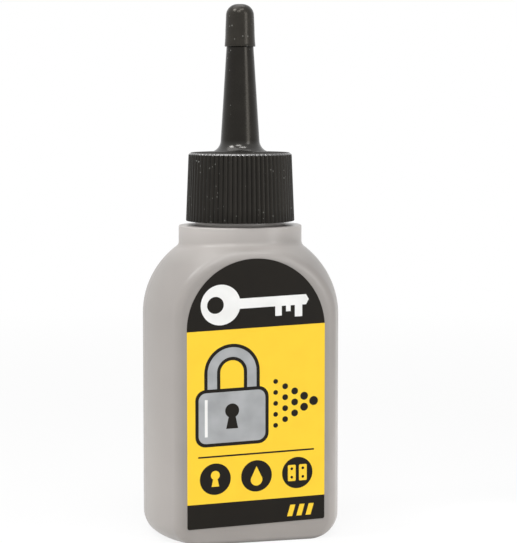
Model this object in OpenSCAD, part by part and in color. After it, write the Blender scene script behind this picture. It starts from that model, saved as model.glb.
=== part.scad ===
// Squeeze bottle of dry graphite lubricant for locks: a flat-sided grey bottle with arched
// shoulders, a ribbed black screw cap moulded in one with its long nozzle, and a push-on tip cap.
// Z points up from the standing rim, X runs across the wide front, and the front faces -Y.

/* [Bottle body] */
// Width of the bottle across its front
body_w = 41.2; // [38:0.2:46]
// Depth of the bottle from front to back
body_d = 27.2; // [26.4:0.2:30]
// Height at which the straight sides turn into the shoulders
side_h = 46.7; // [40:0.1:60]
// Half of the straight stretch between the two shoulder arcs
crown_half = 2.6; // [1:0.1:3.4]
// Radius of the bulge across the narrow sides and the shoulders
side_bulge_r = 24.5; // [21:0.1:30]
// Rounding along the front and back edges
edge_r = 2.4; // [2:0.1:3.4]
// Rounding of the lower ends of the narrow sides
base_corner_r = 4.4; // [3.6:0.1:6]
// Rounding of the lower front and back edges
base_edge_r = 0.6; // [0.4:0.1:1.5]
// Thickness of the walls
wall_t = 1.2; // [0.8:0.1:1.8]
// Thickness of the floor, measured up from the standing rim
floor_t = 1.8; // [1.4:0.1:3]
// Rounding where the walls meet the floor inside
floor_edge_r = 2.5; // [1.5:0.1:4]
// Depth of the hollow under the base
base_hollow = 0.6; // [0.3:0.1:0.9]
// Width of the standing rim around that hollow
standing_rim_w = 2.4; // [1.5:0.1:4]

/* [Collar and neck] */
// Width of the collar on the shoulders, across the front
collar_w = 26.2; // [24:0.2:28]
// Width of the collar's ledge in front of and behind the bead
collar_ledge = 1.3; // [0.8:0.1:2]
// Height of the collar's top above the crown of the shoulders
collar_rise = 0.8; // [0.5:0.1:2]
// Rounding of the collar's top edge
collar_edge_r = 0.5; // [0.3:0.1:1]
// Diameter of the plain bead at the foot of the neck
bead_d = 19; // [18.6:0.1:20]
// Height of that bead above the collar
bead_h = 1.9; // [1.2:0.1:2.5]
// Diameter of the neck under its thread
neck_d = 17.4; // [16.8:0.1:17.8]
// Diameter of the hole through the neck
neck_bore_d = 14.6; // [12:0.1:15]
// Height of the neck's rim above the collar
neck_h = 12.8; // [11:0.1:16]

/* [Screw thread] */
// Rise of the thread in one turn
thread_pitch = 3.175; // [2.8:0.025:3.6]
// Turns of thread on the neck
thread_turns = 1.5; // [1.2:0.1:1.8]
// Turns of thread inside the cap
cap_thread_turns = 1.25; // [1:0.05:1.5]
// Height of a thread above its wall
thread_h = 0.8; // [0.5:0.05:1]
// Width of a thread at its root
thread_root_w = 1.5; // [1.2:0.05:1.7]
// Width of a thread at its crest
thread_crest_w = 0.6; // [0.3:0.05:0.9]
// Clearance between the two threads
thread_clear = 0.25; // [0.15:0.05:0.35]
// Distance from the neck's rim down to the upper end of its thread
thread_rim_gap = 1.6; // [1.2:0.1:2.5]

/* [Nozzle cap] */
// Diameter of the skirt over its ribs, at its lower edge
skirt_d = 23; // [22.4:0.1:24.5]
// Diameter of the skirt over its ribs, at its top
skirt_top_d = 21.8; // [21.4:0.1:23]
// Gap between the collar and the lower edge of the skirt
skirt_gap = 0.9; // [0.6:0.1:1.6]
// Thickness of the cap's top
cap_top_t = 1.5; // [1:0.1:2.5]
// Slope cut off the top edge of the skirt
cap_chamfer = 0.7; // [0.2:0.1:1]
// Height of the wider mouth inside the skirt
mouth_h = 1.8; // [1.4:0.1:2.4]
// Clearance between the skirt's mouth and the bead
mouth_clear = 0.6; // [0.4:0.1:0.8]
// Number of grooves between the ribs
groove_count = 68; // [48:1:80]
// Radius of a groove
groove_r = 0.32; // [0.2:0.02:0.4]
// Diameter of the nozzle where it meets the cap's top
nozzle_base_d = 8.5; // [7:0.1:10]
// Diameter of the nozzle at the seat of the tip cap
nozzle_end_d = 5.7; // [5.4:0.1:6]
// Length of the nozzle from the cap's top to the seat of the tip cap
nozzle_l = 22.2; // [16:0.2:35]
// Rounding where the nozzle meets the cap's top
flare_r = 2.7; // [1:0.1:3.2]
// Diameter of the spigot under the tip cap, at its foot
spigot_d = 4.7; // [4.2:0.1:5]
// Diameter of the spigot at its tip
spigot_tip_d = 4.2; // [3.6:0.1:4.6]
// Length of the spigot
spigot_l = 7; // [5:0.1:8]
// Diameter of the hole where the powder comes out
outlet_d = 1.8; // [1:0.1:2.4]
// Diameter of the nozzle's hole at its lower end
inlet_d = 5; // [4:0.1:6]

/* [Tip cap] */
// Length of the tip cap
tip_l = 8.9; // [8.4:0.1:12]
// Diameter of the tip cap's lip
tip_lip_d = 6.5; // [6.2:0.1:7]
// Height of the flared lip
tip_lip_h = 3.4; // [0.8:0.1:4]
// Diameter of the tip cap above its lip
tip_side_d = 6.15; // [5.9:0.05:6.6]
// Diameter of the tip cap below its dome
tip_top_d = 5.9; // [5.6:0.1:6.4]
// Rounding of the dome
tip_dome_r = 2.4; // [1.2:0.1:2.6]
// Clearance between the spigot and the tip cap
tip_clear = 0.08; // [0.05:0.01:0.1]
// Gap between the end of the spigot and the roof of its socket
tip_roof_gap = 0.4; // [0.2:0.1:0.8]

/* [Seal washer] */
// Thickness of the seal washer
washer_t = 1; // [0.6:0.1:2]
// Diameter of the hole in the washer
washer_hole_d = 8; // [6:0.1:11]
// Gap between the washer and the inside of the skirt
washer_gap = 0.3; // [0.2:0.05:0.4]

/* [Graphite powder] */
// Height of the powder where it meets the walls
powder_level = 50; // [20:0.5:52]
// Height of the heap in the middle, above that level
powder_heap = 2; // [0.5:0.1:4]
// Gap between the powder and the walls
powder_gap = 0.1; // [0.05:0.05:0.3]

/* [Labels] */
// Distance from the side of the bottle to the edge of a label
label_side_gap = 5.9; // [5.6:0.1:9]
// Height of a label's lower edge above the standing rim
label_base_gap = 3.9; // [2.5:0.1:8]
// Distance from the crown of the shoulders down to the top of a label's arch
label_crown_gap = 5.3; // [5:0.1:9]
// Rounding of a label's lower corners
label_corner_r = 0.4; // [0.2:0.1:3]
// Thickness of a label
label_t = 0.12; // [0.08:0.02:0.2]

/* [Hidden] */
$fn = 96;

// How far a cut runs past the face that it opens
overrun = 1;
// Steps along one turn of a thread
thread_steps = 40;
// How deep a thread's root is sunk in its wall
thread_sink = 0.3;
// Turn over which a thread rises from nothing at each end, in degrees
thread_fade = 40;
// Height of a thread at its very end, as a share of its full height
thread_end_share = 0.1;

shoulder_r = body_w / 2 - crown_half;
crown_z = side_h + shoulder_r;
collar_r = bead_d / 2 + collar_ledge;
collar_z = crown_z + collar_rise;
rim_z = collar_z + neck_h;
neck_r = neck_d / 2;
thread_low_z = rim_z - thread_rim_gap - thread_turns * thread_pitch;
thread_drop = (thread_root_w + thread_crest_w) / 2 + thread_clear;

skirt_z = collar_z + skirt_gap;
cap_bore_r = neck_r + thread_h + thread_clear;
cap_roof_z = rim_z + washer_t;
cap_z = cap_roof_z + cap_top_t;
cap_h = cap_z - skirt_z;
skirt_lean = atan((skirt_d - skirt_top_d) / 2 / cap_h);
seat_z = cap_z + nozzle_l;

label_w = body_w - 2 * label_side_gap;
label_top_z = crown_z - label_crown_gap;

graphite_grey = [0.62, 0.60, 0.58];
cap_black = [0.16, 0.16, 0.15];
label_yellow = [0.98, 0.80, 0.20];
powder_grey = [0.25, 0.25, 0.26];
foam_white = [0.92, 0.92, 0.90];

// Half of a plate's section: flat faces, rounded edges and a bulging outer side
module bulged_half(reach, depth, r, bulge) {
  edge_y = depth / 2 - r;
  edge_x = reach - bulge + sqrt(pow(bulge - r, 2) - pow(edge_y, 2));
  lean = asin(edge_y / (bulge - r));
  far_x = edge_x + bulge * cos(lean);
  far_y = edge_y + bulge * sin(lean);
  translate([0, -depth / 2]) square([edge_x, depth]);
  for (side = [-1, 1]) translate([edge_x, side * edge_y]) circle(r);
  intersection() {
    translate([reach - bulge, 0]) circle(bulge);
    polygon([
      [0, -edge_y], [edge_x, -edge_y], [far_x, -far_y],
      [far_x, far_y], [edge_x, edge_y], [0, edge_y]
    ]);
  }
}

// Rectangle with its lower corners rounded, standing on low
module rounded_foot(width, low, high, r) {
  translate([-width / 2, low + r]) square([width, high - low - r]);
  translate([r - width / 2, low]) square([width - 2 * r, r]);
  for (side = [-1, 1]) translate([side * (width / 2 - r), low + r]) circle(r);
}

// Round block with its lower rim rounded, whose side is the bulge of one narrow side
module bulge_block(reach, bulge, low, high, r) {
  translate([reach - bulge, 0, 0]) rotate_extrude() {
    translate([0, low + r]) square([bulge, high - low - r]);
    translate([0, low]) square([bulge - r, r]);
    translate([bulge - r, low + r]) circle(r);
  }
}

// The bottle's form, drawn in from its outside by inset and standing on low
module body_form(inset, low, corner_r, lower_r) {
  reach = shoulder_r - inset;
  half = body_w / 2 - inset;
  depth = body_d - 2 * inset;
  r = edge_r - inset;
  bulge = side_bulge_r - inset;
  high = crown_z - inset;
  intersection() {
    union() {
      for (side = [0, 1]) mirror([side, 0, 0]) {
        translate([0, 0, low]) linear_extrude(side_h - low) bulged_half(half, depth, r, bulge);
        translate([crown_half, 0, side_h]) rotate([90, 0, 0])
          rotate_extrude(angle = 90) bulged_half(reach, depth, r, bulge);
        translate([crown_half, 0, side_h]) rotate([0, -90, 0])
          linear_extrude(crown_half) bulged_half(reach, depth, r, bulge);
      }
    }
    bulge_block(half, bulge, low, high, corner_r);
    mirror([1, 0, 0]) bulge_block(half, bulge, low, high, corner_r);
    rotate([90, 0, 90]) linear_extrude(2 * half, center = true)
      rounded_foot(depth, low, high, lower_r);
  }
}

// Outline of a label, seen from the front
module label_outline() {
  half = label_w / 2;
  arch_z = label_top_z - half;
  rounded_foot(label_w, label_base_gap, arch_z, label_corner_r);
  translate([0, arch_z]) circle(half);
}

// A label on the flat front of the bottle
module label_plate() {
  translate([0, -body_d / 2, 0]) rotate([90, 0, 0]) linear_extrude(label_t) label_outline();
}

// A screw thread on a wall: outside it where way is 1, inside it where way is -1
module screw_thread(wall_r, turns, way) {
  steps = ceil(turns * thread_steps);
  full = 360 * turns;
  function rise(a) = min(1, a / thread_fade, (full - a) / thread_fade);
  function height(a) = thread_h * (thread_end_share + (1 - thread_end_share) * rise(a));
  function ring(a) = let (
    root = wall_r - way * thread_sink,
    crest = wall_r + way * height(a)
  ) [
    [root, -way * thread_root_w / 2],
    [crest, -way * thread_crest_w / 2],
    [crest, way * thread_crest_w / 2],
    [root, way * thread_root_w / 2]
  ];
  corners = [
    for (i = [0 : steps], p = ring(full * i / steps)) let (a = full * i / steps)
      [p[0] * cos(a), p[0] * sin(a), p[1] + thread_pitch * a / 360]
  ];
  sides = [
    for (i = [0 : steps - 1], k = [0 : 3]) let (
      a = 4 * i + k,
      b = 4 * i + (k + 1) % 4
    ) each [[a, b, b + 4], [a, b + 4, a + 4]]
  ];
  last = 4 * steps;
  ends = [[2, 1, 0], [3, 2, 0], [last, last + 1, last + 2], [last, last + 2, last + 3]];
  polyhedron(corners, concat(sides, ends));
}

// One side of the collar's section, drawn in from its outside by inset, with its top edge rounded by r
module collar_section(inset, height, r) {
  reach = collar_r - inset;
  square([reach, height - r]);
  square([reach - r, height]);
  translate([reach - r, height - r]) circle(r);
}

// The collar's form from the start of the shoulders up: two round ends and a straight stretch
module collar_form(inset, height, r) {
  run = collar_w / 2 - collar_r;
  for (side = [-1, 1]) translate([side * run, 0, 0]) rotate_extrude() collar_section(inset, height, r);
  for (side = [0, 1]) mirror([0, side, 0]) rotate([90, 0, 90]) linear_extrude(2 * run, center = true)
    collar_section(inset, height, r);
}

module bottle() {
  color(graphite_grey) difference() {
    union() {
      body_form(0, 0, base_corner_r, base_edge_r);
      translate([0, 0, side_h]) collar_form(0, collar_z - side_h, collar_edge_r);
      translate([0, 0, side_h]) cylinder(d = bead_d, h = collar_z + bead_h - side_h);
      translate([0, 0, side_h]) cylinder(d = neck_d, h = rim_z - side_h);
      translate([0, 0, thread_low_z]) screw_thread(neck_r, thread_turns, 1);
    }
    body_form(wall_t, floor_t, base_corner_r - wall_t, floor_edge_r);
    translate([0, 0, side_h]) collar_form(wall_t, collar_z - wall_t - side_h, collar_edge_r);
    translate([0, 0, side_h]) cylinder(d = neck_bore_d, h = rim_z + overrun - side_h);
    base_hollow_cut();
  }
}

// The shallow hollow under the base, inside the standing rim
module base_hollow_cut() {
  rim_r = side_bulge_r - base_corner_r - standing_rim_w;
  depth = body_d - 2 * (base_edge_r + standing_rim_w);
  translate([0, 0, -overrun]) linear_extrude(overrun + base_hollow) intersection() {
    translate([body_w / 2 - side_bulge_r, 0]) circle(rim_r);
    translate([side_bulge_r - body_w / 2, 0]) circle(rim_r);
    square([body_w, depth], center = true);
  }
}

module graphite_powder() {
  inset = wall_t + powder_gap;
  color(powder_grey) intersection() {
    body_form(inset, floor_t + powder_gap, base_corner_r - inset, floor_edge_r - powder_gap);
    union() {
      translate([-body_w / 2, -body_d / 2, 0]) cube([body_w, body_d, powder_level]);
      translate([0, 0, powder_level]) cylinder(r1 = body_w / 2, r2 = 0, h = powder_heap);
    }
  }
}

module front_label() {
  color(label_yellow) label_plate();
}

module back_label() {
  color(label_yellow) rotate([0, 0, 180]) label_plate();
}

module seal_washer() {
  color(foam_white) translate([0, 0, rim_z]) difference() {
    cylinder(r = cap_bore_r - washer_gap, h = washer_t);
    translate([0, 0, -overrun]) cylinder(d = washer_hole_d, h = washer_t + 2 * overrun);
  }
}

// Solid of the skirt and the cap's top, before its ribs are cut
module skirt_solid() {
  side_r = skirt_top_d / 2 + cap_chamfer * tan(skirt_lean);
  rotate_extrude() polygon([
    [0, 0],
    [skirt_d / 2, 0],
    [side_r, cap_h - cap_chamfer],
    [skirt_top_d / 2 - cap_chamfer, cap_h],
    [0, cap_h]
  ]);
}

module rib_grooves() {
  length = cap_h / cos(skirt_lean) + 2 * overrun;
  for (i = [0 : groove_count - 1]) rotate([0, 0, i * 360 / groove_count])
    translate([skirt_d / 2, 0, 0]) rotate([0, -skirt_lean, 0])
      translate([0, 0, -overrun]) cylinder(r = groove_r, h = length);
}

// Solid of the nozzle and its spigot, standing on the cap's top
module nozzle_solid() {
  end_z = nozzle_l + spigot_l;
  base_r = nozzle_base_d / 2;
  rotate_extrude() polygon([
    [0, -cap_top_t],
    [base_r, -cap_top_t],
    [base_r, 0],
    [nozzle_end_d / 2, nozzle_l],
    [spigot_d / 2, nozzle_l],
    [spigot_tip_d / 2, end_z],
    [0, end_z]
  ]);
}

// Hollow corner that eases the nozzle into the cap's top
module nozzle_flare() {
  foot_r = nozzle_end_d / 2;
  taper = (nozzle_base_d - nozzle_end_d) / 2 / nozzle_l;
  corner_r = nozzle_base_d / 2 + flare_r * (1 - taper);
  rotate_extrude() difference() {
    translate([foot_r, -cap_top_t / 2]) square([corner_r - foot_r, flare_r + cap_top_t / 2]);
    translate([corner_r, flare_r]) circle(flare_r);
  }
}

module nozzle_bore() {
  rotate_extrude() polygon([
    [0, -cap_top_t - overrun],
    [inlet_d / 2, -cap_top_t - overrun],
    [inlet_d / 2, 0],
    [outlet_d / 2, nozzle_l + spigot_l],
    [outlet_d / 2, nozzle_l + spigot_l + overrun],
    [0, nozzle_l + spigot_l + overrun]
  ]);
}

module nozzle_cap() {
  color(cap_black) difference() {
    union() {
      difference() {
        translate([0, 0, skirt_z]) difference() {
          skirt_solid();
          rib_grooves();
        }
        translate([0, 0, skirt_z - overrun]) cylinder(r = cap_bore_r, h = cap_roof_z - skirt_z + overrun);
        translate([0, 0, skirt_z - overrun]) cylinder(d = bead_d + 2 * mouth_clear, h = mouth_h + overrun);
      }
      translate([0, 0, thread_low_z - thread_drop]) screw_thread(cap_bore_r, cap_thread_turns, -1);
      translate([0, 0, cap_z]) {
        nozzle_solid();
        nozzle_flare();
      }
    }
    translate([0, 0, cap_z]) nozzle_bore();
  }
}

module tip_cap() {
  low_z = tip_l - tip_dome_r;
  top_r = tip_top_d / 2;
  color(cap_black) translate([0, 0, seat_z]) difference() {
    rotate_extrude() {
      polygon([
        [0, 0],
        [tip_lip_d / 2, 0],
        [tip_side_d / 2, tip_lip_h],
        [top_r, low_z],
        [0, low_z]
      ]);
      intersection() {
        translate([top_r - tip_dome_r, low_z]) circle(tip_dome_r);
        translate([0, low_z]) square([top_r, tip_dome_r]);
      }
      translate([0, low_z]) square([top_r - tip_dome_r, tip_dome_r]);
    }
    tip_socket();
  }
}

// Socket of the tip cap, which follows the spigot's taper
module tip_socket() {
  foot_r = spigot_d / 2 + tip_clear;
  roof_r = spigot_tip_d / 2 + tip_clear;
  rotate_extrude() polygon([
    [0, -overrun],
    [foot_r, -overrun],
    [foot_r, 0],
    [roof_r, spigot_l],
    [roof_r, spigot_l + tip_roof_gap],
    [0, spigot_l + tip_roof_gap]
  ]);
}

bottle();
graphite_powder();
front_label();
back_label();
seal_washer();
nozzle_cap();
tip_cap();
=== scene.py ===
import math

import bmesh
import bpy
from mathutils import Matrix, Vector, noise


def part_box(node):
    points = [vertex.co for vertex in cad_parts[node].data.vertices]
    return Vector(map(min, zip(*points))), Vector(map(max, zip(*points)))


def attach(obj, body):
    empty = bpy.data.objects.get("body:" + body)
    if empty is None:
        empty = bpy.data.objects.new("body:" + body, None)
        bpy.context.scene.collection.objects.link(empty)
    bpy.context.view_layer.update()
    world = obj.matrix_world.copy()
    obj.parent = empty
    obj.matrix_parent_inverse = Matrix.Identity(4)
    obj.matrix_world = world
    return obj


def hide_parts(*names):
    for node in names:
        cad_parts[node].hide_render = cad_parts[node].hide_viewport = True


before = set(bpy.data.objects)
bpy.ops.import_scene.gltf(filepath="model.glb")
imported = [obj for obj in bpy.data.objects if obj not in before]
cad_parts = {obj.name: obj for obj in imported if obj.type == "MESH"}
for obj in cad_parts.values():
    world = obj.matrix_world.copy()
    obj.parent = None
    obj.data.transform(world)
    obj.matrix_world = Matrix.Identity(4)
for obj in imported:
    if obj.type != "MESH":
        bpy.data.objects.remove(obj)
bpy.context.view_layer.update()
mm = 0.001
scene = bpy.context.scene
scene.view_settings.view_transform = "Standard"
print("frame: loaded", sorted(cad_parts))


# modelling helpers

def startPiece(name, addShape, **shape):
    bpy.ops.object.select_all(action="DESELECT")
    addShape(**shape)
    piece = bpy.context.object
    piece.name = name
    piece.data.name = name
    return piece


def pickOnly(*pieces):
    bpy.ops.object.select_all(action="DESELECT")
    for piece in pieces:
        piece.select_set(True)
    bpy.context.view_layer.objects.active = pieces[0]


def tidyMesh(piece):
    # doubles go first, so that the normals are worked out on a closed shell
    pickOnly(piece)
    bpy.ops.object.mode_set(mode="EDIT")
    bpy.ops.mesh.select_all(action="SELECT")
    bpy.ops.mesh.remove_doubles(threshold=1e-7)
    bpy.ops.mesh.normals_make_consistent(inside=False)
    bpy.ops.object.mode_set(mode="OBJECT")


def growRings(name, rings, closed=False):
    # a circle is extruded ring by ring, and each ring's points are set on the form
    piece = startPiece(name, bpy.ops.mesh.primitive_circle_add,
                       vertices=len(rings[0]), radius=mm)
    bpy.ops.object.mode_set(mode="EDIT")
    bpy.ops.mesh.select_all(action="SELECT")
    edit = bmesh.from_edit_mesh(piece.data)
    column = edit.verts.layers.int.new("column")
    for vert in edit.verts:
        vert[column] = vert.index
    bmesh.update_edit_mesh(piece.data)
    for step, ring in enumerate(rings):
        if step:
            bpy.ops.mesh.extrude_edges_move()
        edit = bmesh.from_edit_mesh(piece.data)
        column = edit.verts.layers.int["column"]
        for vert in edit.verts:
            if vert.select:
                vert.co = ring[vert[column]]
        bmesh.update_edit_mesh(piece.data)
    if not closed:
        bpy.ops.mesh.edge_face_add()
        bpy.ops.mesh.select_all(action="DESELECT")
        bpy.ops.mesh.select_non_manifold()
        bpy.ops.mesh.edge_face_add()
    bpy.ops.object.mode_set(mode="OBJECT")
    piece.data.attributes.remove(piece.data.attributes["column"])
    tidyMesh(piece)
    return piece


def roundRing(columns, radius, z):
    return [(radius * math.cos(a), radius * math.sin(a), z) for a in columns]


def evenColumns(count):
    return [2 * math.pi * k / count for k in range(count)]


def arcPath(centre, radius, start, end, steps):
    # points (r, z) on an arc, angles in degrees from the +r direction
    turns = [math.radians(start + (end - start) * k / steps) for k in range(steps + 1)]
    return [(centre[0] + radius * math.cos(t), centre[1] + radius * math.sin(t)) for t in turns]


def filletPath(r, z, radius, way, steps):
    # a quarter round at the corner (r, z): way is 1 in a hollow corner and -1 over an edge
    start, end = (270, 180) if way > 0 else (0, 90)
    return arcPath((r + way * radius, z + way * radius), radius, start, end, steps)


def weldOn(piece, added):
    pickOnly(piece)
    weld = piece.modifiers.new("weld", "BOOLEAN")
    weld.object = added
    weld.operation = "UNION"
    weld.solver = "EXACT"
    bpy.ops.object.modifier_apply(modifier="weld")
    bpy.data.objects.remove(added, do_unlink=True)


def finishPiece(piece, material, body, node=None, crease=30):
    pickOnly(piece)
    bpy.ops.object.shade_smooth_by_angle(angle=math.radians(crease))
    if material:
        piece.data.materials.clear()
        piece.data.materials.append(material)
    if node:
        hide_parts(node)
    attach(piece, body)
    print("piece:", piece.name, len(piece.data.polygons), "faces")


def easedLevels(low, high, steps):
    # heights that lie close together at the low end and spread out upwards
    return [low + (high - low) * (1 - math.cos(math.radians(90 * k / steps)))
            for k in range(steps + 1)]


def smoothStep(low, high, value):
    t = min(1.0, max(0.0, (value - low) / (high - low)))
    return t * t * (3 - 2 * t)


def smoothMin(a, b, blend):
    h = max(blend - abs(a - b), 0.0) / blend
    return min(a, b) - h * h * blend / 4


# camera and studio

shot = {
    "lens": 128.1, "sensor": 36,    # the sensor lies along the picture's long side
    "turn": math.radians(14.71),    # how far left of the label's middle the camera stands
    "pitch": math.radians(5.25),
    "distance": 409.1 * mm,
    "aside": 3.89 * mm,
    "height": 93.1 * mm,
    "clip": 10 * mm,
}


def placeCamera():
    across = Vector((math.cos(shot["turn"]), -math.sin(shot["turn"]), 0))
    away = Vector((math.sin(shot["turn"]), math.cos(shot["turn"]), 0))
    look = away * math.cos(shot["pitch"]) - Vector((0, 0, math.sin(shot["pitch"])))
    place = across * shot["aside"] - away * shot["distance"] + Vector((0, 0, shot["height"]))
    bpy.ops.object.select_all(action="DESELECT")
    bpy.ops.object.camera_add(location=place, rotation=look.to_track_quat("-Z", "Y").to_euler())
    camera = bpy.context.object
    camera.data.lens = shot["lens"]
    camera.data.sensor_width = shot["sensor"]
    camera.data.clip_start = shot["clip"]
    scene.camera = camera
    print("camera: placed")


studio = {
    "worldLight": 0.46,
    "floorSize": 6.0,
    "floorPaint": (0.9, 0.9, 0.9, 1),
    "floorWhite": 0.88,            # share of plain white in the floor's look near the object
    "floorFade": (0.16, 0.42),     # metres from the middle over which the floor turns all white
    "lamps": {
        "frontFill": {"place": (-0.05, -0.62, 0.20), "aim": (0, 0, 0.055), "size": (0.6, 0.5),
                      "power": 0.5, "gloss": False},
        "leftBox": {"place": (-0.26, -0.01, 0.04), "aim": (0, 0, 0.04), "size": (0.14, 0.2),
                    "power": 0.14, "gloss": False},
        "topLeft": {"place": (-0.29, -0.06, 0.46), "aim": (0, 0, 0.07), "size": (0.12, 0.12),
                    "power": 0.75, "gloss": True},
        "topFront": {"place": (-0.14, -0.30, 0.43), "aim": (0, 0, 0.07), "size": (0.18, 0.08),
                     "power": 0.55, "gloss": True},
        "topMiddle": {"place": (0.03, -0.20, 0.50), "aim": (0.02, 0, 0.07), "size": (0.2, 0.08),
                      "power": 0.55, "gloss": True},
        "rightStrip": {"place": (0.33, -0.45, 0.16), "aim": (0, 0, 0.055), "size": (0.16, 0.5),
                       "power": 1.15, "gloss": True, "diffuse": False},
        "overhead": {"place": (-0.05, 0.10, 0.52), "aim": (0, 0, 0.08), "size": (0.5, 0.3),
                     "power": 0.9, "gloss": True, "diffuse": False},
        "leftLow": {"place": (-0.052, -0.012, 0.010), "aim": (-0.02, -0.006, 0.010),
                    "size": (0.02, 0.016), "power": 0.003, "gloss": False},
        "rightLow": {"place": (0.07, -0.015, 0.006), "aim": (0.02, -0.01, 0.006),
                     "size": (0.02, 0.02), "power": 0.024, "gloss": False},
    },
}


def addNode(tree, kind, inputs=None, **settings):
    node = tree.nodes.new(kind)
    for key, value in settings.items():
        setattr(node, key, value)
    for key, value in (inputs or {}).items():
        if isinstance(value, bpy.types.NodeSocket):
            tree.links.new(value, node.inputs[key])
        else:
            node.inputs[key].default_value = value
    return node


def backdropRay(tree):
    # 1 for what the camera, a gloss or a clear piece sees
    path = addNode(tree, "ShaderNodeLightPath")
    seen = addNode(tree, "ShaderNodeMath", {0: path.outputs["Is Camera Ray"],
                   1: path.outputs["Is Glossy Ray"]}, operation="MAXIMUM")
    return addNode(tree, "ShaderNodeMath", {0: seen.outputs[0],
                   1: path.outputs["Is Transmission Ray"]}, operation="MAXIMUM").outputs[0]


def buildStudio():
    world = bpy.data.worlds.new("studioWorld")
    scene.world = world
    world.use_nodes = True
    tree = world.node_tree
    tree.nodes.clear()
    level = addNode(tree, "ShaderNodeMix", {"Factor": backdropRay(tree),
                    2: studio["worldLight"], 3: 1.0}, data_type="FLOAT")
    sky = addNode(tree, "ShaderNodeBackground", {"Color": (1, 1, 1, 1),
                  "Strength": level.outputs[0]})
    addNode(tree, "ShaderNodeOutputWorld", {"Surface": sky.outputs[0]})

    floor = startPiece("studioFloor", bpy.ops.mesh.primitive_plane_add, size=studio["floorSize"])
    paper = bpy.data.materials.new("studioPaper")
    paper.use_nodes = True
    tree = paper.node_tree
    tree.nodes.clear()
    matt = addNode(tree, "ShaderNodeBsdfDiffuse", {"Color": studio["floorPaint"]})
    white = addNode(tree, "ShaderNodeEmission", {"Color": (1, 1, 1, 1), "Strength": 1.0})
    place = addNode(tree, "ShaderNodeTexCoord").outputs["Object"]
    away = addNode(tree, "ShaderNodeVectorMath", {0: place}, operation="LENGTH").outputs["Value"]
    plain = addNode(tree, "ShaderNodeMapRange", {"Value": away,
                    "From Min": studio["floorFade"][0], "From Max": studio["floorFade"][1],
                    "To Min": studio["floorWhite"], "To Max": 1.0}).outputs["Result"]
    share = addNode(tree, "ShaderNodeMath", {0: backdropRay(tree), 1: plain},
                    operation="MULTIPLY")
    look = addNode(tree, "ShaderNodeMixShader", {"Fac": share.outputs[0],
                   1: matt.outputs[0], 2: white.outputs[0]})
    addNode(tree, "ShaderNodeOutputMaterial", {"Surface": look.outputs[0]})
    floor.data.materials.append(paper)

    for name, lamp in studio["lamps"].items():
        place = Vector(lamp["place"])
        aim = (Vector(lamp["aim"]) - place).to_track_quat("-Z", "Y").to_euler()
        bpy.ops.object.select_all(action="DESELECT")
        bpy.ops.object.light_add(type="AREA", location=place, rotation=aim)
        light = bpy.context.object
        light.name = name
        light.data.shape = "RECTANGLE"
        light.data.size, light.data.size_y = lamp["size"]
        light.data.energy = lamp["power"]
        light.visible_camera = False
        light.visible_glossy = lamp["gloss"]
        light.visible_diffuse = lamp.get("diffuse", True)
    print("studio: floor, world and", len(studio["lamps"]), "lamps")


placeCamera()
buildStudio()


# shared effects

def newGroup(name, inputs, outputs):
    group = bpy.data.node_groups.new(name, "ShaderNodeTree")
    for label, value in inputs.items():
        socket = group.interface.new_socket(label, in_out="INPUT", socket_type="NodeSocketFloat")
        socket.default_value = value
    for label in outputs:
        group.interface.new_socket(label, in_out="OUTPUT", socket_type="NodeSocketFloat")
    return group, addNode(group, "NodeGroupInput").outputs


def mouldGrain():
    # soft blotches in the colour, and the skin that a mould leaves
    group, given = newGroup("mouldGrain", {"Blotch Scale": 160, "Skin Scale": 2600},
                            ["Blotch", "Skin"])
    place = addNode(group, "ShaderNodeTexCoord").outputs["Object"]
    blotch = addNode(group, "ShaderNodeTexNoise", {"Vector": place, "Scale": given["Blotch Scale"],
                     "Detail": 2.0, "Roughness": 0.45})
    skin = addNode(group, "ShaderNodeTexNoise", {"Vector": place, "Scale": given["Skin Scale"],
                   "Detail": 3.0, "Roughness": 0.55})
    addNode(group, "NodeGroupOutput", {"Blotch": blotch.outputs["Fac"],
            "Skin": skin.outputs["Fac"]})
    return group


def dustSpecks():
    # small round specks, thinned out in patches
    group, given = newGroup("dustSpecks", {"Scale": 800, "Size": 0.1, "Patches": 120}, ["Specks"])
    place = addNode(group, "ShaderNodeTexCoord").outputs["Object"]
    cells = addNode(group, "ShaderNodeTexVoronoi", {"Vector": place, "Scale": given["Scale"]})
    patches = addNode(group, "ShaderNodeTexNoise", {"Vector": place, "Scale": given["Patches"],
                      "Detail": 2.0})
    thinning = addNode(group, "ShaderNodeMapRange", {"Value": patches.outputs["Fac"],
                       "From Min": 0.4, "From Max": 0.62, "To Min": 0.25, "To Max": 1.0})
    reach = addNode(group, "ShaderNodeMath", {0: given["Size"], 1: thinning.outputs["Result"]},
                    operation="MULTIPLY")
    mask = addNode(group, "ShaderNodeMath", {0: cells.outputs["Distance"],
                   1: reach.outputs[0]}, operation="LESS_THAN")
    addNode(group, "NodeGroupOutput", {"Specks": mask.outputs[0]})
    return group


grainGroup = mouldGrain()
dustGroup = dustSpecks()


def startMaterial(name):
    material = bpy.data.materials.new(name)
    material.use_nodes = True
    tree = material.node_tree
    tree.nodes.clear()
    skin = addNode(tree, "ShaderNodeBsdfPrincipled")
    addNode(tree, "ShaderNodeOutputMaterial", {"Surface": skin.outputs["BSDF"]})
    return material, tree, skin


def useGroup(tree, group, **values):
    node = addNode(tree, "ShaderNodeGroup", node_tree=group)
    for label, value in values.items():
        node.inputs[label.replace("_", " ")].default_value = value
    return node.outputs


def spread(tree, value, fromLow, fromHigh, toLow, toHigh):
    return addNode(tree, "ShaderNodeMapRange", {"Value": value, "From Min": fromLow,
                   "From Max": fromHigh, "To Min": toLow, "To Max": toHigh}).outputs["Result"]


def mixColour(tree, factor, low, high):
    return addNode(tree, "ShaderNodeMix", {0: factor, 6: low, 7: high},
                   data_type="RGBA").outputs[2]


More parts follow.
